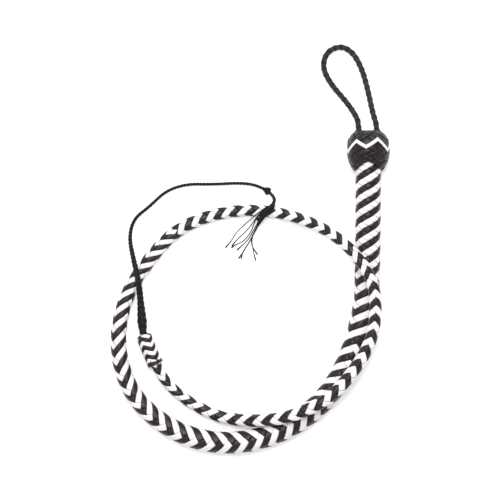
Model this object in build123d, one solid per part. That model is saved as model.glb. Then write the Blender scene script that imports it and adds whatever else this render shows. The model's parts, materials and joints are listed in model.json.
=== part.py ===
from build123d import *
import math
import os

# A plaited stock whip lying in its coil, in millimetres, +Z up, standing on Z = 0.
# It is built from the wrist loop to the frayed end: a stiff grip with a woven heel knot, a tapered
# plaited thong, a hitch knot, a thin fall and a cracker. The thong bends at four stations.

# ---- driving sizes -------------------------------------------------------------------------------
GRIP_DIAMETER = 24.0          # plaited grip, outside
LACE_WALL = 2.6               # thickness of the plaited overlay
FIT = 0.05                    # clearance between pieces of one body
JOINT_GAP = 0.4               # clearance round the ball of a bending station
FLOOR_LIFT = 0.5              # the plaited laces stand this far proud under the tube
CROSSING_LIFT = 8.0           # height of the upper turn's underside over a level grip

HEEL_KNOT_DIAMETER = 41.0
HEEL_KNOT_LENGTH = 39.0
HEEL_KNOT_WALL = 4.5          # woven laces over the foundation
HEEL_SETBACK = 4.5            # the crown stands this far behind the thong's first point
HEEL_FOOT_CLEARANCE = 1.1     # floor to the knot, measured at the thong's first point
HEEL_LACE_DIAMETER = 2.5
HEEL_LACE_LEVEL = 13.0        # the white lace's middle, below the crown
HEEL_LACE_SWING = 4.2
HEEL_LACE_PEAKS = 6
FOUNDATION_LENGTH = 21.0
GRIP_START = 8.0              # the plaited grip begins this far below the crown
GRIP_SPINE_DIAMETER = 8.0
GRIP_SPINE_LENGTH = 128.0
GRIP_BOLSTER_DIAMETER = 17.0

LOOP_CORD_DIAMETER = 4.7
LOOP_TAIL_LEVEL = 0.6         # the loop's ends start this far below the heel knot's crown

HITCH_WALL = 2.55             # sleeve over the thong's end
HITCH_LENGTH = 33.0
HITCH_EYE_LENGTH = 13.2       # the part of the hitch knot that holds the eye of the fall
SLEEVE_SHORT = 1.2            # the black sleeve stops this far before the fall bends
HITCH_LACE_DIAMETER = 2.4
HITCH_LACE_PITCH = 8.6
FALL_ROOT_DIAMETER = 6.0
CRACKER_KNOT_DIAMETER = 6.8
THREAD_DIAMETER = 1.0

BEND_1 = 40                   # opening at the grip's end, degrees
BEND_2 = 35                   # opening at the bottom of the coil
BEND_3 = 30                   # opening at the left of the coil
TAIL_LIFT = 90                # lifting the tail off the coil
FALL_LIFT = 90                # lifting the fall from the hitch knot

OVER = GRIP_DIAMETER + CROSSING_LIFT
HEEL_SEAT = (HEEL_KNOT_DIAMETER - GRIP_DIAMETER) / 2 + HEEL_FOOT_CLEARANCE

# ---- routes: x, y, height of the underside, diameter ----------------------------------------------
THONG = [
    (113.5, 109.0, HEEL_SEAT, GRIP_DIAMETER),
    (114.0, -33.0, 0.6, GRIP_DIAMETER),
    (110.0, -60.0, 0, 22.8),
    (101.0, -92.5, 0, 22.1),
    (86.5, -125.5, 0, 21.6),
    (63.5, -153.5, 0, 21.3),
    (29.5, -175.5, 0, 21.1),
    (-10.0, -186.5, 0, 20.9),
    (-48.5, -183.5, 0, 20.4),
    (-83.5, -168.0, 0, 18.2),
    (-111.5, -141.5, 0, 16.4),
    (-125.0, -108.5, 0, 15.6),
    (-126.5, -74.5, 0, 14.4),
    (-117.0, -40.0, 0, 13.5),
    (-97.5, -10.5, 0, 13.2),
    (-73.0, 17.5, 0, 12.3),
    (-41.5, 32.5, 0, 11.3),
    (-4.0, 39.0, 0, 10.8),
    (32.5, 35.5, 0.4, 10.6),
    (67.5, 23.0, OVER - 19.5, 10.6),
    (95.5, 2.5, OVER - 2.5, 10.6),
    (116.5, -26.5, OVER, 11.1),
    (120.5, -56.0, OVER - 1.0, 11.6),
    (116.0, -87.0, OVER - 3.0, 11.7),
    (99.0, -116.0, OVER - 5.0, 11.8),
    (76.5, -141.5, OVER - 6.5, 11.8),
    (44.5, -157.5, OVER - 9.5, 11.9),
    (20.5, -163.0, OVER - 16.5, 12.0),
    (-6.0, -164.5, 2.0, 11.8),
    (-32.0, -160.5, 0, 11.2),
    (-62.5, -144.5, 0, 10.2),
    (-88.5, -119.0, 2.9, 9.6),
    (-102.0, -81.5, 3.1, 9.6),
]
STATION_1, STATION_2, STATION_3, STATION_4 = 1, 6, 12, 26   # runs that hold a bending station
HITCH_CORNER = 31             # the thong enters the hitch knot just past this point
HITCH_TANGENT = 6.0

FALL = [                      # from the end of the hitch knot
    (-103.0, -69.5, 3.0, 8.2),
    (-104.5, -48.5, 6.0, 6.0),
    (-106.0, -30.0, 14.9, 5.5),
    (-111.0, -9.0, 14.4, 4.6),
    (-116.0, 12.0, 2.2, 3.5),
    (-111.5, 30.0, 0.5, 3.0),
    (-96.5, 41.5, 0.4, 2.8),
    (-80.5, 57.0, 0.4, 2.7),
    (-60.0, 63.5, 0.4, 2.7),
    (-36.0, 63.0, 0.4, 2.7),
    (-10.0, 64.5, 0.4, 2.7),
    (7.5, 62.5, 0.8, 2.7),
    (17.0, 57.0, 2.2, 2.7),
]
CRACKER = [
    (17.0, 57.0, 2.2, 2.7),
    (24.0, 51.5, 4.2, 2.9),
    (24.0, 45.0, 11.0, 3.0),
    (17.5, 38.5, 13.2, 3.6),
    (8.5, 27.5, 9.5, 4.2),
]
# where the ends of the frayed threads lie: x, y
THREAD_ENDS = [(-23.5, 2.0), (-17.5, 2.5), (-12.0, -1.0), (-9.5, -8.5), (0.5, -10.5), (8.0, -5.0)]
THREAD_SPACING = 1.3
THREAD_SAG = 3.0              # height of a thread's underside where it nears the floor

LOOP = [
    (104.0, 117.0, 18.5),
    (103.5, 125.5, 17.8),
    (92.0, 142.0, 12.7),
    (76.5, 160.0, 5.7),
    (69.0, 176.5, 1.2),
    (73.5, 191.5, 0.2),
    (88.0, 197.5, 0.1),
    (100.5, 189.0, 0.3),
    (109.0, 170.5, 3.7),
    (114.0, 149.5, 10.2),
    (118.0, 131.0, 15.7),
    (122.5, 117.0, 18.5),
]


class Route:
    """Straight runs joined by tangent arcs, with a diameter at each point."""

    def __init__(self, rows, lift=0.0, tangents=None):
        self.points = [Vector(x, y, low + d / 2 + lift) for x, y, low, d in rows]
        self.radii = [row[3] / 2 for row in rows]
        self.runs = [b - a for a, b in zip(self.points, self.points[1:])]
        self.ways = [run.normalized() for run in self.runs]
        self.tangents = [0.0]
        for i in range(1, len(self.points) - 1):
            shorter = min(self.runs[i - 1].length, self.runs[i].length)
            self.tangents.append((tangents or {}).get(i, 0.45 * shorter))
        self.tangents.append(0.0)

    def turn(self, i):
        return self.ways[i - 1].get_angle(self.ways[i])

    def arc_radius(self, i):
        return self.tangents[i] / math.tan(math.radians(self.turn(i)) / 2)

    def run_ends(self, run):
        """Where the straight part of a run starts and ends, with the radius at each end."""
        start = self.points[run] + self.ways[run] * self.tangents[run]
        end = self.points[run + 1] - self.ways[run] * self.tangents[run + 1]
        return start, end, self.radii[run], self.radii[run + 1]

    def station(self, run, share=0.5):
        """A point on a run's straight part, and the tube's radius there."""
        start, end, r0, r1 = self.run_ends(run)
        centre = self.points[run] + self.runs[run] * share
        along = (centre - start).length / (end - start).length
        return centre, r0 + (r1 - r0) * along

    def tube(self, first, last, start=None, end=None, thinner=0.0, longer=0.0):
        """The tube from run first to run last; start and end are stations on those runs."""
        pieces = []
        for run in range(first, last + 1):
            p, q, r0, r1 = self.run_ends(run)
            if run == first and start:
                p, r0 = start
            if run == last and end:
                q, r1 = end
            way = self.ways[run]
            if run == first:
                p = p - way * longer
            if run == last:
                q = q + way * longer
            pieces.append(cone(p, q, r0 - thinner, r1 - thinner))
            if run < last:
                pieces.append(self.bend(run + 1, thinner))
        return fused(pieces)

    def bend(self, i, thinner):
        before, after = self.ways[i - 1], self.ways[i]
        begin = self.points[i] - before * self.tangents[i]
        normal = before.cross(after).normalized()
        centre = begin + normal.cross(before) * self.arc_radius(i)
        section = Plane(origin=begin, z_dir=before) * Circle(self.radii[i] - thinner)
        return revolve(section, axis=Axis(centre, normal), revolution_arc=self.turn(i))


def cone(p, q, r0, r1):
    height = (q - p).length
    plane = Plane(origin=p, z_dir=(q - p).normalized())
    if abs(r0 - r1) < 1e-6:
        return Solid.make_cylinder(r0, height, plane)
    return Solid.make_cone(r0, r1, height, plane)


def ball(centre, radius):
    return Pos(centre) * Sphere(radius)


def fused(pieces):
    return Part() + [pieces[0].fuse(*pieces[1:])]


def rod(plane, radius, start, length):
    return plane * Pos(0, 0, start) * Cylinder(radius, length,
                                              align=(Align.CENTER, Align.CENTER, Align.MIN))


def hollow(plane, outer, bore, start, length):
    return rod(plane, outer, start, length) - rod(plane, bore, start - 1, length + 2)


def turned(way, axis, degrees):
    return way.rotate(Axis((0, 0, 0), axis), degrees)


def socket(centre, radius, way, axis, degrees):
    """What the next link's ball and its opened tube sweep from the end of this one."""
    wide = radius + JOINT_GAP
    opened = turned(way, axis, degrees)
    return [ball(centre, wide), cone(centre, centre + opened * 3 * radius, wide, wide)]


def closed_zigzag(plane, radius, height, swing, peaks, thick):
    """A round lace that runs up and down round a knot, its centre on the knot's surface."""
    corners = []
    for k in range(2 * peaks):
        turn = math.pi * k / peaks
        level = height + (swing if k % 2 else -swing)
        corners.append(plane.from_local_coords(
            Vector(radius(level) * math.cos(turn), radius(level) * math.sin(turn), level)))
    pieces = []
    count = len(corners)
    for k in range(count):
        a, b, c = corners[k - 1], corners[k], corners[(k + 1) % count]
        before, after = (b - a).normalized(), (c - b).normalized()
        reach = min((b - a).length, (c - b).length) * 0.3
        angle = before.get_angle(after)
        bend_radius = reach / math.tan(math.radians(angle) / 2)
        begin = b - before * reach
        normal = before.cross(after).normalized()
        centre = begin + normal.cross(before) * bend_radius
        section = Plane(origin=begin, z_dir=before) * Circle(thick / 2)
        pieces.append(revolve(section, axis=Axis(centre, normal), revolution_arc=angle))
        pieces.append(cone(a + before * reach, begin, thick / 2, thick / 2))
    return fused(pieces)


# ---- thong -----------------------------------------------------------------------------------------
thong = Route(THONG, FLOOR_LIFT, {HITCH_CORNER: HITCH_TANGENT})
hitch_end, thong_end = thong.points[-1], thong.radii[-1]
fall_root = (hitch_end.X, hitch_end.Y, hitch_end.Z - FALL_ROOT_DIAMETER / 2, FALL_ROOT_DIAMETER)
fall = Route([fall_root] + FALL)
cracker = Route(CRACKER)

UP = Vector(0, 0, 1)
ALONG_Y = Vector(0, 1, 0)
nodes = {}


def link(name, first, last, opening):
    """One rigid link: plaited overlay with its ball and socket, belly and core sealed inside."""
    head, tail = thong.station(first), thong.station(last)
    shell = thong.tube(first, last, head, tail) + ball(*head)
    for tool in socket(*tail, thong.ways[last], *opening):
        shell = shell - tool
    inner = (first + 1, last - 1)
    narrowest = min(thong.radii[first + 1:last + 1])
    core_wall = (LACE_WALL + narrowest) / 2
    belly = thong.tube(*inner, thinner=LACE_WALL)
    nodes[f"{name}_overlay"] = shell - thong.tube(*inner, thinner=LACE_WALL - FIT, longer=FIT)
    nodes[f"{name}_belly"] = belly - thong.tube(*inner, thinner=core_wall - FIT)
    nodes[f"{name}_core"] = thong.tube(*inner, thinner=core_wall)


link("base", STATION_1, STATION_2, (UP, BEND_2))
link("left", STATION_2, STATION_3, (UP, BEND_3))
link("coil", STATION_3, STATION_4, (ALONG_Y, TAIL_LIFT))

# ---- tail, hitch knot and the eye of the fall --------------------------------------------------------
hitch_way = thong.ways[-1]
hitch_start = hitch_end - hitch_way * HITCH_LENGTH
hitch = Plane(origin=hitch_start, z_dir=hitch_way)
hitch_radius = thong_end + HITCH_WALL
eye_level = HITCH_LENGTH - HITCH_EYE_LENGTH
fall_radius = FALL_ROOT_DIAMETER / 2

tail_head = thong.station(STATION_4)
last_run = len(THONG) - 2
plait_end = (hitch_end - hitch_way * HITCH_EYE_LENGTH, thong_end)
tail = thong.tube(STATION_4, last_run, tail_head, plait_end) + ball(*tail_head)
inner = (STATION_4 + 1, last_run - 1)
tail = tail - thong.tube(*inner, thinner=LACE_WALL - FIT, longer=FIT)
nodes["tail_overlay"] = tail
nodes["tail_core"] = thong.tube(*inner, thinner=LACE_WALL)

sleeve = rod(hitch, hitch_radius, 0, HITCH_LENGTH - SLEEVE_SHORT)
sleeve = fillet(sleeve.edges().filter_by(GeomType.CIRCLE), 0.6 * HITCH_WALL)
sleeve = sleeve - rod(hitch, thong_end + FIT, -2, eye_level + 2 + FIT)
sleeve = sleeve - rod(hitch, fall_radius + FIT, 0, HITCH_LENGTH)
laces = []
ring_radius = hitch_radius - 0.3 * HITCH_LACE_DIAMETER
for k in range(3):
    level = HITCH_LENGTH / 2 + (k - 1) * HITCH_LACE_PITCH
    seat = hitch * Pos(0, 0, level)
    laces.append(seat * Torus(ring_radius, HITCH_LACE_DIAMETER / 2))
    sleeve = sleeve - seat * Torus(ring_radius, HITCH_LACE_DIAMETER / 2 + FIT)
nodes["hitch_knot_black"] = sleeve
nodes["hitch_knot_white_laces"] = laces

# ---- fall ------------------------------------------------------------------------------------------
fall_station = fall.station(0, 0.52)
eye_start = hitch_end - hitch_way * (HITCH_EYE_LENGTH - FIT)
eye = fused([cone(eye_start, hitch_end, fall_radius, fall_radius),
             ball(hitch_end, fall_radius), fall.tube(0, 0, None, fall_station)])
lift_axis = fall.ways[0].cross(UP).normalized()
for tool in socket(*fall_station, fall.ways[0], lift_axis, FALL_LIFT):
    eye = eye - tool
nodes["fall_eye"] = eye

knot_centre = fall.points[-1]
fall_last = len(fall.runs) - 1
cord = fall.tube(0, fall_last, fall_station) + ball(*fall_station)
nodes["fall"] = cord - ball(knot_centre, CRACKER_KNOT_DIAMETER / 2 + JOINT_GAP)

# ---- cracker ---------------------------------------------------------------------------------------
nodes["cracker_knot"] = Part() + [ball(knot_centre, CRACKER_KNOT_DIAMETER / 2)]
lash = cracker.tube(0, len(cracker.runs) - 1) + ball(cracker.points[-1], cracker.radii[-1])
nodes["cracker_cord"] = lash - ball(knot_centre, CRACKER_KNOT_DIAMETER / 2 + FIT)

root, root_way = cracker.points[-1], cracker.ways[-1]
side = root_way.cross(UP).normalized()
threads = []
for k, (x, y) in enumerate(THREAD_ENDS):
    offset = (k - (len(THREAD_ENDS) - 1) / 2) * THREAD_SPACING
    begin = root + root_way * (cracker.radii[-1] + THREAD_DIAMETER) + side * offset
    end = Vector(x, y, THREAD_DIAMETER / 2 + 0.1)
    rows = [begin, begin + (end - begin) * 0.4 + UP, begin + (end - begin) * 0.75, end]
    heights = [p.Z - THREAD_DIAMETER / 2 for p in rows]
    heights[2] = min(heights[2], THREAD_SAG)
    thread = Route([(p.X, p.Y, h, THREAD_DIAMETER) for p, h in zip(rows, heights)])
    threads.append(thread.tube(0, 2))
nodes["cracker_threads"] = threads

# ---- grip ------------------------------------------------------------------------------------------
heel_point, grip_way = thong.points[0], thong.ways[0]
heel = Plane(origin=heel_point - grip_way * HEEL_SETBACK, x_dir=(1, 0, 0), z_dir=grip_way)
grip_radius = GRIP_DIAMETER / 2
bolster_radius, spine_radius = GRIP_BOLSTER_DIAMETER / 2, GRIP_SPINE_DIAMETER / 2
spine_start = GRIP_START + 2.0
grip_head = (heel.from_local_coords(Vector(0, 0, GRIP_START)), grip_radius)
grip_tail = thong.station(STATION_1)
overlay = thong.tube(0, STATION_1, grip_head, grip_tail)
for tool in socket(*grip_tail, thong.ways[STATION_1], UP, BEND_1):
    overlay = overlay - tool
bore_length = spine_start - GRIP_START + GRIP_SPINE_LENGTH + FIT
nodes["grip_overlay"] = overlay - rod(heel, bolster_radius + FIT, GRIP_START - 1, bore_length + 1)
nodes["grip_bolster"] = hollow(heel, bolster_radius, spine_radius + FIT, spine_start, GRIP_SPINE_LENGTH)
nodes["grip_spine"] = rod(heel, spine_radius, spine_start, GRIP_SPINE_LENGTH)

# ---- heel knot -------------------------------------------------------------------------------------
knot_radius = HEEL_KNOT_DIAMETER / 2
foundation_radius = knot_radius - HEEL_KNOT_WALL
foundation_end = GRIP_START + FOUNDATION_LENGTH
nodes["heel_foundation"] = hollow(heel, foundation_radius, grip_radius + FIT, GRIP_START, FOUNDATION_LENGTH)

# outline as (radius, level below the crown)
crown = (8.5, 0.0)
shoulder = (0.86 * knot_radius, 0.13 * HEEL_KNOT_LENGTH)
waist = (knot_radius, 0.45 * HEEL_KNOT_LENGTH)
flank = (0.91 * knot_radius, 0.76 * HEEL_KNOT_LENGTH)
rim = (grip_radius + 1.2, HEEL_KNOT_LENGTH)
outline = Polyline((0, 0), crown) + ThreePointArc(crown, shoulder, waist)
outline += ThreePointArc(waist, flank, rim)
outline += Polyline(rim, (grip_radius + FIT, HEEL_KNOT_LENGTH), (grip_radius + FIT, foundation_end + FIT),
                    (foundation_radius + FIT, foundation_end + FIT),
                    (foundation_radius + FIT, GRIP_START - FIT), (0, GRIP_START - FIT), (0, 0))
knot = heel * revolve(make_face(Plane.XZ * outline), Axis.Z)


def lace_radius(level):
    """Where the white lace's centre lies: half sunk in the knot's upper arc."""
    (x1, y1), (x2, y2), (x3, y3) = crown, shoulder, waist
    a, b = 2 * (x2 - x1), 2 * (y2 - y1)
    c, d = 2 * (x3 - x2), 2 * (y3 - y2)
    e, f = x2 ** 2 + y2 ** 2 - x1 ** 2 - y1 ** 2, x3 ** 2 + y3 ** 2 - x2 ** 2 - y2 ** 2
    centre_x, centre_y = (e * d - b * f) / (a * d - b * c), (a * f - e * c) / (a * d - b * c)
    arc = math.hypot(x1 - centre_x, y1 - centre_y)
    return centre_x + math.sqrt(arc ** 2 - (level - centre_y) ** 2) - 0.4 * HEEL_LACE_DIAMETER


zigzag = (lace_radius, HEEL_LACE_LEVEL, HEEL_LACE_SWING, HEEL_LACE_PEAKS)
knot = knot - closed_zigzag(heel, *zigzag, HEEL_LACE_DIAMETER + 2 * FIT)

# ---- wrist loop ------------------------------------------------------------------------------------
cord_radius = LOOP_CORD_DIAMETER / 2
loop = Route([(x, y, low, LOOP_CORD_DIAMETER) for x, y, low in LOOP])
nodes["wrist_loop"] = (loop.tube(0, len(LOOP) - 2) + ball(loop.points[0], cord_radius)
                       + ball(loop.points[-1], cord_radius))
loop_tails = []
for end in (loop.points[0], loop.points[-1]):
    local = heel.to_local_coords(end)
    seat = Plane(origin=heel.from_local_coords(Vector(local.X, local.Y, 0)), z_dir=grip_way)
    tail_end = GRIP_START - 2 * FIT
    loop_tails.append(rod(seat, cord_radius, LOOP_TAIL_LEVEL, tail_end - LOOP_TAIL_LEVEL))
    knot = knot - rod(seat, cord_radius + FIT, -3, GRIP_START + 6)
nodes["loop_tails"] = loop_tails
nodes["heel_knot"] = knot
nodes["heel_knot_white_lace"] = closed_zigzag(heel, *zigzag, HEEL_LACE_DIAMETER)

# ---- written files -----------------------------------------------------------------------------------
os.makedirs("parts", exist_ok=True)
for name, shape in nodes.items():
    whole = Compound(children=list(shape)) if isinstance(shape, list) else shape
    export_step(whole, f"parts/{name}.step")

for name, route in (("thong", thong), ("fall", fall), ("cracker", cracker), ("wrist loop", loop)):
    radii = [round(route.arc_radius(i), 1) for i in range(1, len(route.points) - 1)]
    print(name, "arc radii", radii)

loop_arcs = [math.radians(loop.turn(i)) * loop.arc_radius(i) - 2 * loop.tangents[i]
             for i in range(1, len(loop.points) - 1)]
loop_length = sum(run.length for run in loop.runs) + sum(loop_arcs)
section = math.pi * cord_radius ** 2
balls = 4 / 3 * math.pi * cord_radius ** 3
print("wrist loop volume", round(nodes["wrist_loop"].volume), "section by length",
      round(section * loop_length + balls), "length", round(loop_length))
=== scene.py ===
import json
import math

import bmesh
import bpy
import numpy as np
from mathutils import Matrix, Vector

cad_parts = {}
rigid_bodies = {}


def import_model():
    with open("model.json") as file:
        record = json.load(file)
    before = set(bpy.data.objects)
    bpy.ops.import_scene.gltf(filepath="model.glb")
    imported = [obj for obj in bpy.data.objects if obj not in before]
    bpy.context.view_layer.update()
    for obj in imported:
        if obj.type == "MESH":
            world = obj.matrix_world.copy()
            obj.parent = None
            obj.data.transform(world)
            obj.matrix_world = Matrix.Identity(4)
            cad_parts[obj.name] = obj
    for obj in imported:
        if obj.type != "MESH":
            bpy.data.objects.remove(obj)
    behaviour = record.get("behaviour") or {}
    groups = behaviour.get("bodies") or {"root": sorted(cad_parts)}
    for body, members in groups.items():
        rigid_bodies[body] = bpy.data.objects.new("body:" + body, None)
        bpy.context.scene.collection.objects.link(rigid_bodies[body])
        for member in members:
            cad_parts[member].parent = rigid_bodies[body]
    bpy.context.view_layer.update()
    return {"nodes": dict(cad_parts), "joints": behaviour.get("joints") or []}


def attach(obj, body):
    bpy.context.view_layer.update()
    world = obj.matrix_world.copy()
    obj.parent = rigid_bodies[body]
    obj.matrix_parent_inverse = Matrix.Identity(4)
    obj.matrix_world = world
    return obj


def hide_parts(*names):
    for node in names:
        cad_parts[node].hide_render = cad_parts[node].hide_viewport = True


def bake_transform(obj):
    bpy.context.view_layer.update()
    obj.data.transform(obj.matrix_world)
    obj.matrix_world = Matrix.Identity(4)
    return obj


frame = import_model()

# ---- The plaited thong -------------------------------------------------------------------------
# Twelve flat leather laces, six black and six white, are woven round a leather belly; half way along
# four of them are dropped and eight go on. The grip is woven over one and under one in
# slanting stripes, the rest over three (later over two) in a herringbone that turns with the coil.
THONG = [
    (0.1135, 0.109, 0.0221, 0.024),
    (0.114, -0.033, 0.0131, 0.024),
    (0.11, -0.06, 0.0119, 0.0228),
    (0.101, -0.0925, 0.01155, 0.0221),
    (0.0865, -0.1255, 0.0113, 0.0216),
    (0.0635, -0.1535, 0.01115, 0.0213),
    (0.0295, -0.1755, 0.01105, 0.0211),
    (-0.01, -0.1865, 0.01095, 0.0209),
    (-0.0485, -0.1835, 0.0107, 0.0204),
    (-0.0835, -0.168, 0.0096, 0.0182),
    (-0.1115, -0.1415, 0.0087, 0.0164),
    (-0.125, -0.1085, 0.0083, 0.0156),
    (-0.1265, -0.0745, 0.0077, 0.0144),
    (-0.117, -0.04, 0.00725, 0.0135),
    (-0.0975, -0.0105, 0.0071, 0.0132),
    (-0.073, 0.0175, 0.00665, 0.0123),
    (-0.0415, 0.0325, 0.00615, 0.0113),
    (-0.004, 0.039, 0.0059, 0.0108),
    (0.0325, 0.0355, 0.0062, 0.0106),
    (0.0675, 0.023, 0.0183, 0.0106),
    (0.0955, 0.0025, 0.0353, 0.0106),
    (0.1165, -0.0265, 0.03805, 0.0111),
    (0.1205, -0.056, 0.0373, 0.0116),
    (0.116, -0.087, 0.03535, 0.0117),
    (0.099, -0.116, 0.0334, 0.0118),
    (0.0765, -0.1415, 0.0319, 0.0118),
    (0.0445, -0.1575, 0.02895, 0.0119),
    (0.0205, -0.163, 0.022, 0.012),
    (-0.006, -0.1645, 0.0084, 0.0118),
    (-0.032, -0.1605, 0.0061, 0.0112),
    (-0.0625, -0.1445, 0.0056, 0.0102),
    (-0.0885, -0.119, 0.0082, 0.0096),
    (-0.102, -0.0815, 0.0084, 0.0096),
]
UP = np.array((0.0, 0.0, 1.0))


def unit(vectors):
    return vectors / np.linalg.norm(vectors, axis=-1, keepdims=True)


def smooth(x):
    x = np.clip(x, 0, 1)
    return x * x * (3 - 2 * x)


def nurbs(name, points, resolution):
    """A smooth open curve that starts at the first point, ends at the last and follows the others."""
    curve = bpy.data.curves.new(name, "CURVE")
    curve.dimensions = "3D"
    spline = curve.splines.new("NURBS")
    spline.points.add(len(points) - 1)
    for control, point in zip(spline.points, points):
        control.co = (*point, 1)
    spline.order_u = 3
    spline.use_endpoint_u = True
    spline.resolution_u = resolution
    return curve, spline


class Way:
    """A smooth route along the given points, read every millimetre, with a diameter all along."""

    def __init__(self, rows):
        curve, _ = nurbs("route", [row[:3] for row in rows], 32)
        holder = bpy.data.objects.new("route", curve)
        mesh = bpy.data.meshes.new_from_object(holder)
        line = np.array([vertex.co for vertex in mesh.vertices])
        bpy.data.objects.remove(holder)
        bpy.data.meshes.remove(mesh)
        run = np.concatenate([[0], np.cumsum(np.linalg.norm(np.diff(line, axis=0), axis=1))])
        self.length = run[-1]
        self.run = np.linspace(0, self.length, int(self.length * 1000) + 2)
        self.points = np.stack([np.interp(self.run, run, line[:, k]) for k in range(3)], axis=1)
        self.along = unit(np.gradient(self.points, axis=0))
        self.left = unit(np.cross(UP, self.along))
        self.top = np.cross(self.along, self.left)
        marks = [self.near(row[:3]) for row in rows]
        self.diameters = np.interp(self.run, marks, [row[3] for row in rows])

    def near(self, point):
        """Distance run to where the route passes nearest to a point."""
        return self.run[np.argmin(np.linalg.norm(self.points - np.array(point), axis=1))]

    def read(self, values, run):
        return np.stack([np.interp(run, self.run, values[:, k]) for k in range(3)], axis=-1)

    def point(self, run):
        return self.read(self.points, run)

    def path(self, start=0.0, end=None):
        """Points of the middle line, one every 3 mm."""
        end = self.length if end is None else end
        return [tuple(self.point(s)) for s in np.linspace(start, end, max(8, int((end - start) / 0.003)))]

    def place(self, run, angle, out):
        """A point round the route: angle from the top towards the left, out from its surface."""
        radius = (np.interp(run, self.run, self.diameters) / 2 + out)[..., None]
        side = np.cos(angle)[..., None] * self.read(self.top, run)
        side = side + np.sin(angle)[..., None] * self.read(self.left, run)
        return self.point(run) + unit(side) * radius


LACE_THICK = 0.0011
LACE_TOP = 0.0002             # the crown of a lace stands this far outside the thong's round
LACE_DIVE = 0.0014            # how far down a lace goes to pass under another
LACE_SINK = 0.0024            # how far down a dropped lace goes, under the ones that go on
LACE_FILL = 0.975             # share of its room that a lace takes up
LACE_WANDER = 0.025           # how far it strays in its room, as a share of its width
LACE_STEPS, LACE_ACROSS = 6, 6
CLOSER_ALONG, CLOSER_ACROSS = 0.1, 0.07     # draws a lace's faces together where it dips and at its edges
TUCK_FROM, TUCK_REACH = 0.33, 0.17


def grid(bm, along, across):
    """A flat sheet of faces to be laid on the whip, and where its corners are, from -1 to 1."""
    made = bmesh.ops.create_grid(bm, x_segments=along, y_segments=across, size=1.0,
                                 calc_uvs=True)["verts"]
    return made, np.array([vertex.co for vertex in made])


def lay(made, points):
    for vertex, point in zip(made, points):
        vertex.co = point


class Plait:
    """Flat laces woven round a surface, as many winding to the right as to the left.

    A spot on it is told in laces: a counts over the laces that wind right, b over the others.
    """

    def __init__(self, place, laces, reach, pitch, seam, floats, set_at=(0.0, 0.0), dive=LACE_DIVE,
                 shift=None):
        self.place, self.laces, self.floats, self.dive = place, laces, floats, dive
        self.shift = shift or (lambda run: 0)
        step = 0.0005
        self.run = np.arange(reach[0], reach[1] + step, step)
        lead = np.interp(self.run, *zip(*pitch))
        self.turn = np.cumsum(2 * math.pi / lead) * step
        self.turn += math.radians(set_at[1]) - np.interp(set_at[0], self.run, self.turn)
        self.seam = np.radians(np.interp(self.run, *zip(*seam))) + math.pi / 2 / laces

    def spot(self, a, b):
        """Distance run and angle of a spot told in laces."""
        run = np.interp(math.pi * (b - a) / self.laces, self.turn, self.run)
        return run, np.interp(run, self.run, self.seam) + math.pi * (a + b) / self.laces

    def shown(self, right, index, crossing):
        """Whether a lace lies on top where it meets the other family's lace of that number."""
        a, b = (index, crossing) if right else (crossing, index)
        run, _ = self.spot(a, b)
        band = np.floor(np.mod(a + b + self.shift(run), 2 * self.laces) / self.floats(run))
        return (band % 2 == 0) == right

    def cut(self, right, index, run):
        """The count along a lace, nearest to a distance run, where it is hidden under others."""
        turns = np.interp(run, self.run, self.turn) * self.laces / math.pi
        wanted = index + turns if right else index - turns
        spots = round(2 * wanted) / 2 + np.arange(-8, 9) / 2
        hidden = [s for s in spots if not self.shown(right, index, np.floor(s + 0.5))
                  and not self.shown(right, index, np.ceil(s - 0.5))]
        return min(hidden, key=lambda s: abs(s - wanted))

    def lace(self, bm, right, index, first, last, crown, sink=None):
        """One flat lace from one count along it to another, dipping under those that cross on top."""
        made, flat = grid(bm, round((last - first) * LACE_STEPS), LACE_ACROSS)
        along = first + (last - first) * (flat[:, 0] + 1) / 2
        along = along + CLOSER_ALONG * np.sin(2 * math.pi * along)
        across = flat[:, 1] / 2 + CLOSER_ACROSS * np.sin(math.pi * flat[:, 1])
        crossing = np.floor(along + 0.5 - 1e-9)
        f = along - crossing
        here, after, before = (self.shown(right, index, crossing + k) for k in (0, 1, -1))
        level = here * (1 - tuck(f) * ~after - tuck(-f) * ~before)
        wander = LACE_WANDER * np.sin(0.9 * along + 2.3 * index) * LACE_FILL
        a, b = (index + across * LACE_FILL + wander, along)
        if not right:
            a, b = (along, index - across * LACE_FILL + wander)
        run, angle = self.spot(a, b)
        out = LACE_TOP - self.dive * (1 - level) - crown(2 * across)
        if sink:
            out = out - LACE_SINK * sink(run, angle)
        lay(made, self.place(run, angle, out))

    def weave(self, bm, indices, start, end, crown, sink=None):
        """The laces of both families with these numbers, from one distance run to another."""
        for right in (True, False):
            for index in indices:
                cuts = [self.cut(right, index, run) for run in (start, end)]
                self.lace(bm, right, index, min(cuts), max(cuts), crown, sink)


def tuck(f):
    """How far a lace has gone down at f, where 0.5 is the edge of the lace that it passes under."""
    reach = np.clip((f - TUCK_FROM) / TUCK_REACH, 0, 1)
    return 1 - np.sqrt(1 - reach ** 2)


def flat_crown(v):
    """How far a lace's face drops towards its edges; v is 0 in the middle and 1 at an edge."""
    return 0.0001 * v ** 2 + 0.0003 * v ** 8


def finished(name, bm, material, body=None, thick=None):
    """A bmesh made into a piece of the whip, smooth, with a leather's thickness if one is given."""
    mesh = bpy.data.meshes.new(name)
    bm.to_mesh(mesh)
    bm.free()
    mesh.polygons.foreach_set("use_smooth", [True] * len(mesh.polygons))
    mesh.materials.append(material)
    piece = bpy.data.objects.new(name, mesh)
    bpy.context.scene.collection.objects.link(piece)
    if thick:
        wall = piece.modifiers.new("thickness", "SOLIDIFY")
        wall.thickness = thick
        wall.offset = -1
    if body:
        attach(piece, body)
    return piece


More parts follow.
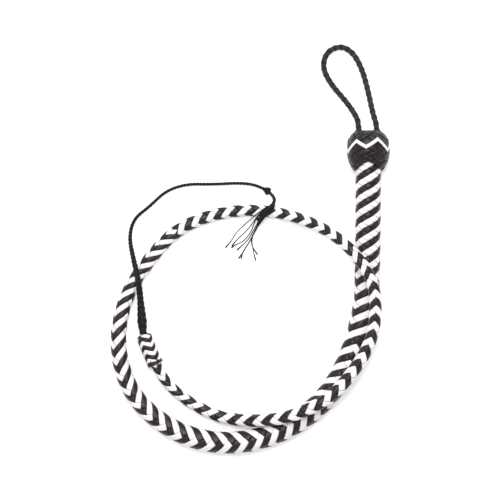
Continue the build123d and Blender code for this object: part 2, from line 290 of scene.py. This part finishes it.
def leather(name, dark, light, edge_wear_and_shade, roughness, pores, shine):
    """Dyed leather lace: mottled dye, pores and fine creases, and a colour at its side edges, lighter on the
    black and dark leathers as rubbed wear, darker on the white laces as painted shade.
    """
    material = bpy.data.materials.new(name)
    material.use_nodes = True
    nodes, links = material.node_tree.nodes, material.node_tree.links
    shader = nodes["Principled BSDF"]
    place = nodes.new("ShaderNodeTexCoord")

    def noise(scale, detail):
        node = nodes.new("ShaderNodeTexNoise")
        node.inputs["Scale"].default_value = scale
        node.inputs["Detail"].default_value = detail
        links.new(place.outputs["Object"], node.inputs["Vector"])
        return node.outputs["Fac"]

    def mixed(factor, first, second):
        node = nodes.new("ShaderNodeMix")
        node.data_type = "RGBA"
        links.new(factor, node.inputs["Factor"])
        for socket, value in ((node.inputs[6], first), (node.inputs[7], second)):
            if isinstance(value, tuple):
                socket.default_value = (*value, 1)
            else:
                links.new(value, socket)
        return node.outputs[2]

    def ranged(value, low, high, to_low, to_high):
        node = nodes.new("ShaderNodeMapRange")
        for socket, number in zip(node.inputs[1:5], (low, high, to_low, to_high)):
            socket.default_value = number
        links.new(value, node.inputs[0])
        return node.outputs[0]

    def maths(operation, *values):
        node = nodes.new("ShaderNodeMath")
        node.operation = operation
        for socket, value in zip(node.inputs, values):
            if isinstance(value, float):
                socket.default_value = value
            else:
                links.new(value, socket)
        return node.outputs[0]

    mottle = ranged(noise(260, 5), 0.32, 0.68, 0, 1)
    split = nodes.new("ShaderNodeSeparateXYZ")
    links.new(place.outputs["UV"], split.inputs[0])
    edge = maths("ABSOLUTE", maths("SUBTRACT", split.outputs["Y"], 0.5))
    # the side edges of a lace take the edge colour in patches: rubbed wear where it is lighter, painted shade
    # in the seams between laces where it is darker
    edge_wear_and_shade_mask = maths("MULTIPLY", ranged(edge, 0.38, 0.5, 0, 1), ranged(noise(420, 3), 0.35, 0.6, 0.25, 1))
    links.new(mixed(edge_wear_and_shade_mask, mixed(mottle, dark, light), edge_wear_and_shade), shader.inputs["Base Color"])
    links.new(ranged(noise(700, 4), 0.3, 0.7, roughness - 0.08, roughness + 0.1),
              shader.inputs["Roughness"])
    grain = nodes.new("ShaderNodeTexVoronoi")
    grain.inputs["Scale"].default_value = pores
    links.new(place.outputs["Object"], grain.inputs["Vector"])
    creased = maths("ADD", grain.outputs["Distance"], noise(pores * 0.6, 6))
    bump = nodes.new("ShaderNodeBump")
    bump.inputs["Strength"].default_value = 0.3
    bump.inputs["Distance"].default_value = 0.00015
    links.new(creased, bump.inputs["Height"])
    links.new(bump.outputs["Normal"], shader.inputs["Normal"])
    shader.inputs["Specular IOR Level"].default_value = shine
    return material


BLACK = leather("black_lace_leather", (0.005, 0.0038, 0.0042), (0.024, 0.0195, 0.0205), (0.045, 0.037, 0.039),
                0.36, 1500, 0.3)
# the white laces' third colour is darker: painted shade in the seams between neighbouring laces
WHITE = leather("white_lace_leather", (0.80, 0.755, 0.75), (0.86, 0.82, 0.815), (0.60, 0.54, 0.53),
                0.5, 1300, 0.35)
INNER = leather("inner_leather", (0.16, 0.085, 0.045), (0.24, 0.13, 0.07), (0.1, 0.055, 0.03), 0.7, 900, 0.3)

thong = Way(THONG)


def at_row(number):
    """Distance run to one of the points of the thong's route."""
    return thong.near(THONG[number][:3])


GRIP_WOVEN_TO = 0.134         # where over one, under one becomes over three
LACES_DROPPED_AT = at_row(15)
DROP_REACH = 0.012            # how far the two plaits run on past each other there
DROP_WAVE, DROP_RIPPLE = 0.005, 0.002
DROP_FADE = 0.004             # length in which a lace goes down


def floats_thick(run):
    return np.where(run < GRIP_WOVEN_TO, 1, 3)


def floats_thin(run):
    return 2


def drop_edge(angle):
    """The uneven line round the thong where eight laces take over from twelve."""
    return LACES_DROPPED_AT + DROP_WAVE * np.sin(2 * angle + 0.6) + DROP_RIPPLE * np.sin(5 * angle)


def dropped(run, angle):
    """How far the twelve laces have gone down: 0 on top, 1 hidden."""
    return smooth((run - drop_edge(angle) + 0.001) / DROP_FADE)


def taken_up(run, angle):
    """How far the eight laces are still down."""
    return 1 - smooth((run - drop_edge(angle) + 0.005) / DROP_FADE)


SHIFTED_TO = 0.194            # up to here the floats start two laces further on


def shift_thick(run):
    return np.where(run < SHIFTED_TO, -2, 0)


# first list: length of one whole turn of a lace, against distance run; second list: where the
# herringbone's spine lies, in degrees from the top; the pair after them sets one turn's angle
thick_plait = Plait(thong.place, 6, (0, LACES_DROPPED_AT + 0.05), [
    (0.0, 0.0412), (0.08, 0.0414), (0.13, 0.046), (0.19, 0.0472), (0.235, 0.052), (0.28, 0.048),
    (0.32, 0.0468), (0.4, 0.048), (0.44, 0.0475), (0.48, 0.0454), (0.53, 0.045), (0.56, 0.0438),
    (0.578, 0.0445), (0.586, 0.0535), (0.599, 0.0535), (0.607, 0.0432)], [
    (0.15, -18), (0.18, -12), (0.23, -8), (0.255, -22), (0.33, -22), (0.36, -6), (0.41, 5), (0.46, 7),
    (0.48, 12), (0.53, 31), (0.555, 47), (0.578, 54), (0.606, 24), (0.63, 30)],
    floats_thick, (0.03, 84), shift=shift_thick)
thin_plait = Plait(thong.place, 4, (LACES_DROPPED_AT - 0.05, thong.length), [
    (0.6, 0.0307), (0.82, 0.031), (0.84, 0.0294), (0.9, 0.0301), (0.94, 0.0318), (0.98, 0.0336),
    (1.04, 0.0338), (1.08, 0.0375), (1.1, 0.0345), (1.13, 0.032), (1.145, 0.0302), (1.18, 0.0294)], [
    (0.67, -54), (0.71, -66), (0.75, -95), (0.81, -114), (0.87, -190), (0.93, -210), (0.97, -222),
    (1.03, -281), (1.05, -282), (1.09, -265), (1.14, -245), (1.18, -188)], floats_thin, (0.67, 120))

HEEL_COVERS = 0.02            # the plait starts this far along, inside the heel knot
HITCH_COVERS = 0.026          # and ends this far before the thong's end, inside the hitch knot
BEND_REACH = 0.021            # half the length that bends at a station
BOTTOM_FROM, LEFT_FROM, UPPER_FROM, TAIL_FROM = (at_row(number) for number in (4, 9, 16, 23))
sections = [
    # name, start, end, the bodies that it rides on or spans, the CAD pieces that it covers
    ("grip", HEEL_COVERS, BOTTOM_FROM, ("handle", "thong_base"), ("grip_overlay", "base_overlay")),
    ("bottom", BOTTOM_FROM, LEFT_FROM, ("thong_base", "thong_left"), ("left_overlay",)),
    ("left", LEFT_FROM, UPPER_FROM, ("thong_left", "thong_coil"), ("coil_overlay",)),
    ("upper", UPPER_FROM, TAIL_FROM, ("thong_coil",), ()),
    ("tail", TAIL_FROM, thong.length - HITCH_COVERS, ("thong_coil", "thong_tail"), ("tail_overlay",)),
]


def tube(bm, place, start, end, out, step, around):
    """A closed tube; out gives how far its wall stands off the surface at a place."""
    made, flat = grid(bm, max(2, round((end - start) / step)), around)
    run = start + (end - start) * (flat[:, 0] + 1) / 2
    angle = math.pi * flat[:, 1]
    lay(made, place(run, angle, out(run, angle)))
    bmesh.ops.remove_doubles(bm, verts=made, dist=1e-7)
    ends = {edge for vertex in made if vertex.is_valid for edge in vertex.link_edges if edge.is_boundary}
    bmesh.ops.holes_fill(bm, edges=list(ends), sides=0)


def inset(depth):
    """A tube's wall at one depth below the surface."""
    return lambda run, angle: np.full_like(run, -depth)


def new_bmesh():
    """An empty bmesh that keeps where on its lace each corner lies, for the edge colour of rubbed wear and
    painted shade.
    """
    bm = bmesh.new()
    bm.loops.layers.uv.new("lace")
    return bm


def settle(piece, bodies):
    """A piece of the thong rides on one body; one that spans two, where a station lies in it, is left where
    it lies.
    """
    if len(bodies) == 1:
        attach(piece, bodies[0])
        return
    joint = next(j for j in frame["joints"] if (j["parent"], j["child"]) == bodies)
    station = thong.near(joint["pos_m"])
    tuple(thong.point(station - BEND_REACH))
    tuple(thong.point(station + BEND_REACH))
    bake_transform(piece)


BELLY_DEPTH = 0.0022
for name, start, end, bodies, covered in sections:
    plaits = []
    if start < LACES_DROPPED_AT:
        plaits.append((thick_plait, start, min(end, LACES_DROPPED_AT + DROP_REACH), dropped))
    if end > LACES_DROPPED_AT:
        plaits.append((thin_plait, max(start, LACES_DROPPED_AT - DROP_REACH), end, taken_up))
    for colour, material in (("black", BLACK), ("white", WHITE)):
        bm = new_bmesh()
        for plait, first_run, last_run, sink in plaits:
            odd = colour == "white"
            plait.weave(bm, range(odd, plait.laces, 2), first_run, last_run, flat_crown, sink)
        piece = finished(f"{name}_{colour}_laces", bm, material, thick=LACE_THICK)
        settle(piece, bodies)
    bm = new_bmesh()
    tube(bm, thong.place, start, end, inset(BELLY_DEPTH), 0.003, 24)
    belly = finished(f"{name}_belly_lining", bm, BLACK)
    settle(belly, bodies)
    if covered:
        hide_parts(*covered)
    tuple(thong.point(start))
    thong.path(start, end)

# ---- The heel knot -------------------------------------------------------------------------------
# A round knot of wide black laces woven over a leather foundation at the grip's end, with one flat
# white lace laid round it in a zigzag. Its rim runs in two scallops over the start of the plait.
HEEL_RADIUS, HEEL_LENGTH = 0.0205, 0.039
HEEL_WAIST = 0.0175           # where it is widest, below the crown
CROWN_RADIUS, RIM_RADIUS = 0.0085, 0.0134
CROWN_PROUD = 0.0045          # how far the crown stands beyond the end of the thong's route
RIM_SCALLOP = 0.0045
HEEL_LINING_DEPTH = 0.0016
heel_way = unit(np.array(THONG[1][:3]) - np.array(THONG[0][:3]))
heel_left = unit(np.cross(UP, heel_way))
heel_top = np.cross(heel_way, heel_left)
heel_crown = np.array(THONG[0][:3]) - heel_way * CROWN_PROUD


def heel_radius(level):
    """The knot's outline: a dome down to its widest level, then a flank drawn in to the rim."""
    above = np.clip((HEEL_WAIST - level) / HEEL_WAIST, 0, 1)
    below = np.clip((level - HEEL_WAIST) / (HEEL_LENGTH - HEEL_WAIST), 0, 1)
    dome = CROWN_RADIUS + (HEEL_RADIUS - CROWN_RADIUS) * np.sqrt(1 - above ** 2.4)
    flank = RIM_RADIUS + (HEEL_RADIUS - RIM_RADIUS) * np.cos(math.pi / 2 * below ** 1.3)
    return np.where(level < HEEL_WAIST, dome, flank)


heel_levels = HEEL_LENGTH * np.linspace(0, 1, 400) ** 2
heel_radii = heel_radius(heel_levels)
heel_run = np.concatenate([[0], np.cumsum(np.hypot(np.diff(heel_levels), np.diff(heel_radii)))])


def place_heel(run, angle, out):
    """A point on the knot: distance run from the crown's edge, angle from the top, out from it."""
    level, radius = np.interp(run, heel_run, heel_levels), np.interp(run, heel_run, heel_radii)
    slope = np.interp(run, heel_run, np.gradient(heel_radii, heel_run))
    radius = radius + out * np.sqrt(np.clip(1 - slope ** 2, 0, 1))
    level = level - out * slope
    rim = HEEL_LENGTH - RIM_SCALLOP * (1 + np.cos(2 * angle))
    drawn = HEEL_WAIST + (level - HEEL_WAIST) * (rim - HEEL_WAIST) / (HEEL_LENGTH - HEEL_WAIST)
    level = np.where(level > HEEL_WAIST, drawn, level)
    side = np.cos(angle)[..., None] * heel_top + np.sin(angle)[..., None] * heel_left
    return heel_crown + heel_way * level[..., None] + side * radius[..., None]


def wide_crown(v):
    return 0.0003 * v ** 2 + 0.0004 * v ** 6


heel_plait = Plait(place_heel, 8, (0, heel_run[-1]), [(0, 0.085)], [(0, 8), (heel_run[-1], -4)],
                   lambda run: 2, dive=0.0015)
bm = new_bmesh()
heel_plait.weave(bm, range(8), 0.0005, heel_run[-1] - 0.0005, wide_crown)
heel_laces = finished("heel_knot_black_laces", bm, BLACK, "handle", LACE_THICK)
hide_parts("heel_knot")

bm = new_bmesh()
tube(bm, place_heel, 0.0, heel_run[-1], inset(HEEL_LINING_DEPTH), 0.002, 32)
heel_lining = finished("heel_knot_lining", bm, BLACK, "handle")
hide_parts("heel_foundation")


def to_heel(level):
    """The heel knot's own frame, its axis down the grip, at a level below the crown."""
    axes = Matrix((heel_left, -heel_top, heel_way)).transposed().to_4x4()
    return Matrix.Translation(heel_crown + heel_way * level) @ axes


def disc(outer, inner, thick, edge, segments, seat):
    """A round leather piece with its two rims rounded off, set in its seat."""
    bm = new_bmesh()
    bmesh.ops.create_cone(bm, cap_ends=True, segments=segments, radius1=outer, radius2=inner, depth=thick)
    rims = [e for e in bm.edges if len(e.link_faces[0].verts) != len(e.link_faces[-1].verts)]
    bmesh.ops.bevel(bm, geom=rims, offset=edge, segments=3, profile=0.5, affect="EDGES", material=-1)
    bmesh.ops.transform(bm, matrix=seat, verts=bm.verts)
    return bm


PATCH_OUTER, PATCH_INNER, PATCH_THICK, PATCH_EDGE = 0.0088, 0.0104, 0.0018, 0.0007
PATCH_LEVEL = 0.0004
bm = disc(PATCH_OUTER, PATCH_INNER, PATCH_THICK, PATCH_EDGE, 48, to_heel(PATCH_LEVEL))
patch = finished("crown_patch", bm, BLACK, "handle")

# corners of the white lace: angle in degrees, level below the crown
ZIGZAG = [(-71.5, 0.0205), (-37, 0.0095), (-8.6, 0.015), (24.8, 0.0078), (58.7, 0.0185), (90, 0.009),
          (120, 0.017), (150, 0.0085), (180, 0.016), (210, 0.009), (240, 0.0175), (264, 0.009),
          (288.5, 0.0205)]
ZIGZAG_WIDTH, ZIGZAG_THICK = 0.0036, 0.0009
ZIGZAG_PROUD = 0.0007         # how far it stands outside the black laces
bm = new_bmesh()
made, flat = grid(bm, 8 * (len(ZIGZAG) - 1), 3)
corner = (flat[:, 0] + 1) / 2 * (len(ZIGZAG) - 1)
corners = np.arange(len(ZIGZAG))
level = np.interp(corner, corners, [row[1] for row in ZIGZAG]) + flat[:, 1] * ZIGZAG_WIDTH / 2
angle = np.radians(np.interp(corner, corners, [row[0] for row in ZIGZAG]))
out = ZIGZAG_PROUD - 0.0002 * flat[:, 1] ** 4
lay(made, place_heel(np.interp(level, heel_levels, heel_run), angle, out))
bmesh.ops.remove_doubles(bm, verts=made, dist=1e-6)
bmesh.ops.recalc_face_normals(bm, faces=bm.faces)
zigzag = finished("heel_knot_white_zigzag", bm, WHITE, "handle", ZIGZAG_THICK)
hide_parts("heel_knot_white_lace")

# ---- The wrist loop --------------------------------------------------------------------------------
# A round cord plaited of four dark laces, both ends sunk in the heel knot's crown. Each end sits in a
# small black collar.
LOOP_DIAMETER = 0.0056
LOOP = [
    (0.1052, 0.1105, 0.0212, LOOP_DIAMETER),
    (0.1042, 0.117, 0.02085, LOOP_DIAMETER),
    (0.1035, 0.1255, 0.02015, LOOP_DIAMETER),
    (0.0928, 0.142, 0.01505, LOOP_DIAMETER),
    (0.0776, 0.16, 0.00805, LOOP_DIAMETER),
    (0.0702, 0.1765, 0.0038, LOOP_DIAMETER),
    (0.0746, 0.1912, 0.00295, LOOP_DIAMETER),
    (0.0888, 0.1968, 0.0029, LOOP_DIAMETER),
    (0.1012, 0.189, 0.003, LOOP_DIAMETER),
    (0.1097, 0.1705, 0.00605, LOOP_DIAMETER),
    (0.1145, 0.1495, 0.01255, LOOP_DIAMETER),
    (0.118, 0.131, 0.01805, LOOP_DIAMETER),
    (0.1222, 0.117, 0.02085, LOOP_DIAMETER),
    (0.1212, 0.1105, 0.0212, LOOP_DIAMETER),
]
CORD = leather("loop_cord_leather", (0.009, 0.0074, 0.0078), (0.034, 0.0285, 0.03), (0.055, 0.046, 0.048),
               0.45, 2200, 0.22)


def round_crown(v):
    return 0.0008 * v ** 2


LOOP_TURN = 0.0125            # length of one turn of a lace
LOOP_CORE_DEPTH = 0.0011
loop = Way(LOOP)
loop_plait = Plait(loop.place, 2, (0, loop.length), [(0, LOOP_TURN)], [(0, 20)], lambda run: 1)
bm = new_bmesh()
loop_plait.weave(bm, range(2), 0.0, loop.length, round_crown)
tube(bm, loop.place, 0.0005, loop.length - 0.0005, inset(LOOP_CORE_DEPTH), 0.002, 12)
wrist_loop = finished("wrist_loop_cord", bm, CORD)
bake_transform(wrist_loop)
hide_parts("wrist_loop")
loop.path()
COLLAR_OUTER, COLLAR_INNER, COLLAR_DEEP, COLLAR_EDGE = 0.003, 0.0042, 0.0045, 0.0009
COLLAR_LEVEL = 0.0011
for name, row in (("left", LOOP[1]), ("right", LOOP[-2])):
    off_crown = np.array(row[:3]) - heel_crown
    seat = to_heel(COLLAR_LEVEL) @ Matrix.Translation((off_crown @ heel_left, -(off_crown @ heel_top), 0))
    bm = disc(COLLAR_OUTER, COLLAR_INNER, COLLAR_DEEP, COLLAR_EDGE, 32, seat)
    collar = finished(f"loop_collar_{name}", bm, BLACK, "handle")

# ---- The hitch knot --------------------------------------------------------------------------------
# A sleeve of black and white laces woven over the thong's end and the eye of the fall, in zigzag
# rings, with a plain black band where the thong goes in.
HITCH_LENGTH, HITCH_RADIUS = 0.033, 0.00735
NEAR_ROUND, NEAR_DROP = 0.005, 0.0017       # how long and how deep its thong end is rounded
FAR_ROUND, FAR_DROP = 0.0035, 0.0021
BAND_FROM, BAND_TO = 0.002, 0.0066
HITCH_LINING_DEPTH, HITCH_DIVE, HITCH_WHITE_THICK = 0.0016, 0.0011, 0.0009
hitch_start = thong.length - HITCH_LENGTH


def place_hitch(run, angle, out):
    """A point on the hitch knot: run from its thong end, with rounded ends."""
    near_end = np.clip(run / NEAR_ROUND, 0, 1)
    far_end = np.clip((HITCH_LENGTH - run) / FAR_ROUND, 0, 1)
    radius = HITCH_RADIUS - NEAR_DROP * (1 - np.sqrt(1 - (1 - near_end) ** 2))
    radius = radius - FAR_DROP * (1 - np.sqrt(1 - (1 - far_end) ** 2))
    inside = np.interp(hitch_start + run, thong.run, thong.diameters) / 2
    return thong.place(hitch_start + run, angle, radius + out - inside)


def band_wall(run, angle):
    return 0.0006 - 0.0008 * (run / BAND_TO) ** 4 + 0.0002 * np.sin(2 * angle)


hitch_plait = Plait(place_hitch, 6, (0, HITCH_LENGTH), [(0, 0.026)], [(0.0105, -40), (0.0225, -50)],
                    lambda run: 2, (0.0165, 116), dive=HITCH_DIVE)
for colour, material in (("black", BLACK), ("white", WHITE)):
    bm = new_bmesh()
    hitch_plait.weave(bm, range(colour == "white", 6, 2), 0.003, HITCH_LENGTH - 0.0002, flat_crown)
    if colour == "black":
        tube(bm, place_hitch, BAND_FROM, HITCH_LENGTH, inset(HITCH_LINING_DEPTH), 0.001, 24)
        tube(bm, place_hitch, BAND_FROM, BAND_TO, band_wall, 0.0006, 32)
    piece = finished(f"hitch_knot_{colour}", bm, material, "thong_tail",
                     HITCH_WHITE_THICK if colour == "white" else None)
    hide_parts("hitch_knot_black" if colour == "black" else "hitch_knot_white_laces")

# ---- The fall --------------------------------------------------------------------------------------
# Two strands of waxed black hide twisted together, thick where they leave the hitch knot and thinning
# to the knot at the far end.
FALL = [
    (-0.102, -0.0815, 0.0084, 0.006),
    (-0.1032, -0.0695, 0.0071, 0.009),
    (-0.1045, -0.0485, 0.009, 0.006),
    (-0.106, -0.03, 0.01765, 0.0055),
    (-0.111, -0.009, 0.0167, 0.0046),
    (-0.116, 0.012, 0.00395, 0.0035),
    (-0.1115, 0.03, 0.002, 0.003),
    (-0.0965, 0.0415, 0.0018, 0.0028),
    (-0.0805, 0.057, 0.00175, 0.0027),
    (-0.06, 0.0635, 0.00175, 0.0027),
    (-0.036, 0.063, 0.00175, 0.0027),
    (-0.01, 0.0645, 0.00175, 0.0027),
    (0.0075, 0.0625, 0.00215, 0.0027),
    (0.017, 0.057, 0.00355, 0.0027),
]
HIDE = leather("fall_hide_leather", (0.0055, 0.005, 0.0056), (0.015, 0.0132, 0.014), (0.02, 0.018, 0.019),
               0.5, 2600, 0.15)


LAY_LEAST, LAY_PER_DIAMETER = 0.0036, 1.05        # length of one turn of a strand


def twisted(bm, way, around=20):
    """Two strands laid round each other, as one closed skin with a groove between them.

    A thick stretch is laid up tighter for its size, and its grooves are shallower.
    """
    lead = LAY_LEAST + LAY_PER_DIAMETER * way.diameters
    turn = np.cumsum(2 * math.pi / lead) * (way.run[1] - way.run[0])
    groove = np.interp(way.diameters, (0.0035, 0.006), (0.53, 0.24))

    def skin(run, angle):
        lobe = np.sqrt(np.abs(np.cos(angle - np.interp(run, way.run, turn))))
        deep = np.interp(run, way.run, groove)
        return np.interp(run, way.run, way.diameters) / 2 * (deep * (lobe - 0.75) + 0.02)

    tube(bm, way.place, 0.0, way.length, skin, 0.0005, around)


fall = Way(FALL)
bm = new_bmesh()
twisted(bm, fall)
fall_cord = finished("fall_cord", bm, HIDE)
ROOT_BENDS_FROM, ROOT_BENDS_TO = 0.001, 0.014
tuple(fall.point(ROOT_BENDS_FROM))
tuple(fall.point(ROOT_BENDS_TO))
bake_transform(fall_cord)
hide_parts("fall", "fall_eye")

# ---- The cracker -----------------------------------------------------------------------------------
# Tied on with an overhand knot: a short twisted cord that turns back over the coil and frays into
# loose waxed threads, each with a bead of wax at its end.
CRACKER = [
    (0.017, 0.057, 0.00355, 0.0027),
    (0.024, 0.0515, 0.00565, 0.0029),
    (0.024, 0.045, 0.0125, 0.003),
    (0.0175, 0.0385, 0.015, 0.0036),
    (0.0085, 0.0275, 0.0116, 0.0042),
]
cracker = Way(CRACKER)
bm = new_bmesh()
twisted(bm, cracker)
cracker_cord = finished("cracker_cord_twist", bm, HIDE, "cracker")
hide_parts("cracker_cord")

KNOT_POINTS, KNOT_SCALE, KNOT_CORD = 25, 0.00095, 0.0026
knot_rows = []
for k in range(KNOT_POINTS):
    t = 2 * math.pi * k / (KNOT_POINTS - 1)
    round_about = (math.sin(t) + 2 * math.sin(2 * t), math.cos(t) - 2 * math.cos(2 * t), -math.sin(3 * t))
    knot_rows.append((*(c + KNOT_SCALE * x for c, x in zip(CRACKER[0], round_about)), KNOT_CORD))
knot_way = Way(knot_rows)
bm = new_bmesh()
twisted(bm, knot_way, 16)
overhand = finished("cracker_overhand_knot", bm, HIDE, "cracker")
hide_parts("cracker_knot")
fall.path()
cracker.path()

# the threads, as they lie from above after leaving the bundle that crosses the thong: x, y in mm
THREADS = [
    [(-5.2, 24), (-13.3, 16), (-18.6, 6.4), (-23.1, 2.1)],
    [(0.5, 22), (-5.2, 16), (-15.4, 6.4), (-16.7, 3.6)],
    [(5.4, 28), (2.5, 19.3), (-1.3, 13.2), (-6.6, 7.4), (-14.8, 4.5), (-17.4, 1.6)],
    [(9.2, 28), (4.1, 18.9), (-1.3, 9.3), (-6.6, 4.5), (-11.9, -0.3)],
    [(7, 22), (1.5, 10.3), (-4.6, 0.7), (-8.6, -6), (-10.4, -8.4)],
    [(9, 24), (1, 9.3), (-3.6, 1.7), (-7.8, -5), (-7.6, -8.7)],
    [(11.5, 27), (6.3, 19.9), (1.5, 10.3), (2.8, 3.1), (5.4, -1), (7.9, -4.7)],
    [(12.5, 28), (5.5, 19), (2.0, 10.3), (3.5, 0.7), (4.8, -5.7), (6.1, -10.4)],
]


def bundled(number):
    """Where a thread lies in the flat bundle: tied together at the cord, then side by side."""
    return [(24 + 0.1 * number, 44 - 0.1 * number), (16.5 + 0.95 * number, 41.5 - 0.4 * number),
            (8.3 + 1.0 * number, 35 - 0.45 * number)]


THREAD_RADIUS = 0.00048
THREAD_REST, THREAD_STAGGER = 0.0002, 0.0004      # lowest gap to the table, and between neighbours
BEAD = 1.7                    # how much thicker the wax makes a thread's last point
CROSSING_HEIGHT, CROSSING_REACH, FALL_REACH = 0.0128, 0.018, 0.018
THREAD = leather("waxed_thread", (0.006, 0.0054, 0.0058), (0.015, 0.0132, 0.014), (0.018, 0.016, 0.017),
                 0.5, 3000, 0.15)
for number, loose in enumerate(THREADS):
    places = bundled(number) + loose
    low = THREAD_RADIUS + THREAD_REST + THREAD_STAGGER * (number % 3)
    points = []
    for x, y in places:
        reach = math.hypot(x - places[0][0], y - places[0][1]) / 1000
        high = CROSSING_HEIGHT * (1 - smooth((reach - CROSSING_REACH) / FALL_REACH))
        points.append((x / 1000, y / 1000, low + high))
    curve, spline = nurbs(f"cracker_thread_{number + 1}", points, 8)
    spline.points[-1].radius = BEAD
    curve.bevel_depth = THREAD_RADIUS
    curve.bevel_resolution = 2
    curve.use_fill_caps = True
    curve.materials.append(THREAD)
    thread = bpy.data.objects.new(curve.name, curve)
    bpy.context.scene.collection.objects.link(thread)
    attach(thread, "cracker")
    if number == 0:
        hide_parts("cracker_threads")

# ---- What is inside ------------------------------------------------------------------------------
# A spring steel rod stiffens the grip under a leather bolster; the thong is filled by a plaited belly
# round a leather core. The loop's two tails end inside the heel knot.
def brushed_steel():
    """The spine's spring steel, with fine lines where it was drawn."""
    material = bpy.data.materials.new("spine_steel")
    material.use_nodes = True
    nodes, links = material.node_tree.nodes, material.node_tree.links
    shader = nodes["Principled BSDF"]
    shader.inputs["Metallic"].default_value = 1.0
    shader.inputs["Base Color"].default_value = (0.45, 0.45, 0.47, 1)
    place = nodes.new("ShaderNodeTexCoord")
    drawn = nodes.new("ShaderNodeMapping")
    drawn.inputs["Scale"].default_value = (1, 0.02, 1)
    lines = nodes.new("ShaderNodeTexNoise")
    lines.inputs["Scale"].default_value = 3000
    span = nodes.new("ShaderNodeMapRange")
    span.inputs["To Min"].default_value = 0.28
    span.inputs["To Max"].default_value = 0.5
    links.new(place.outputs["Object"], drawn.inputs["Vector"])
    links.new(drawn.outputs["Vector"], lines.inputs["Vector"])
    links.new(lines.outputs["Fac"], span.inputs["Value"])
    links.new(span.outputs["Result"], shader.inputs["Roughness"])
    return material


INNER_FINISH = {"grip_spine": brushed_steel(), "loop_tails": CORD}
for inner in ("grip_bolster", "base_belly", "base_core", "left_belly", "left_core",
              "coil_belly", "coil_core", "tail_core", "grip_spine", "loop_tails"):
    node = frame["nodes"][inner]
    node.data.materials.clear()
    node.data.materials.append(INNER_FINISH.get(inner, INNER))

# ---- The floor, the light and the camera ---------------------------------------------------------
# A white table under soft light from above and behind, seen from straight above.
bm = bmesh.new()
bmesh.ops.create_grid(bm, x_segments=1, y_segments=1, size=3.0)
table_white = bpy.data.materials.new("table_white")
table_white.use_nodes = True
shader = table_white.node_tree.nodes["Principled BSDF"]
shader.inputs["Base Color"].default_value = (0.92, 0.92, 0.92, 1)
shader.inputs["Roughness"].default_value = 0.9
shader.inputs["Specular IOR Level"].default_value = 0.1
shader.inputs["Emission Color"].default_value = (1, 1, 1, 1)
shader.inputs["Emission Strength"].default_value = 0.25
table = finished("table", bm, table_white)

world = bpy.data.worlds.new("studio")
world.use_nodes = True
background = world.node_tree.nodes["Background"]
background.inputs["Color"].default_value = (1, 1, 1, 1)
background.inputs["Strength"].default_value = 0.6
bpy.context.scene.world = world
LIGHTS = [
    # name, place, size, power
    ("window", (0.15, 1.1, 1.5), 1.2, 18),
    ("fill", (-0.9, -0.4, 1.8), 1.4, 5),
    ("overhead", (-0.05, 0.35, 1.7), 0.3, 11),
]
for name, at, size, power in LIGHTS:
    light = bpy.data.lights.new(name, "AREA")
    light.size = size
    light.energy = power
    lamp = bpy.data.objects.new(name, light)
    lamp.location = at
    lamp.rotation_euler = (-Vector(at)).to_track_quat("-Z", "Y").to_euler()
    bpy.context.scene.collection.objects.link(lamp)

bpy.context.scene.view_settings.view_transform = "Standard"
VIEW_WIDTH = 0.48             # what the view spans at the object, across
VIEW_LEVEL = 0.011            # the height at which it spans that
lens = bpy.data.cameras.new("camera")
lens.lens = 150
lens.sensor_width = 36
lens.clip_end = 20
camera = bpy.data.objects.new("camera", lens)
camera.location = (0.0006, -0.0003, VIEW_WIDTH * lens.lens / lens.sensor_width + VIEW_LEVEL)
bpy.context.scene.collection.objects.link(camera)
bpy.context.scene.camera = camera
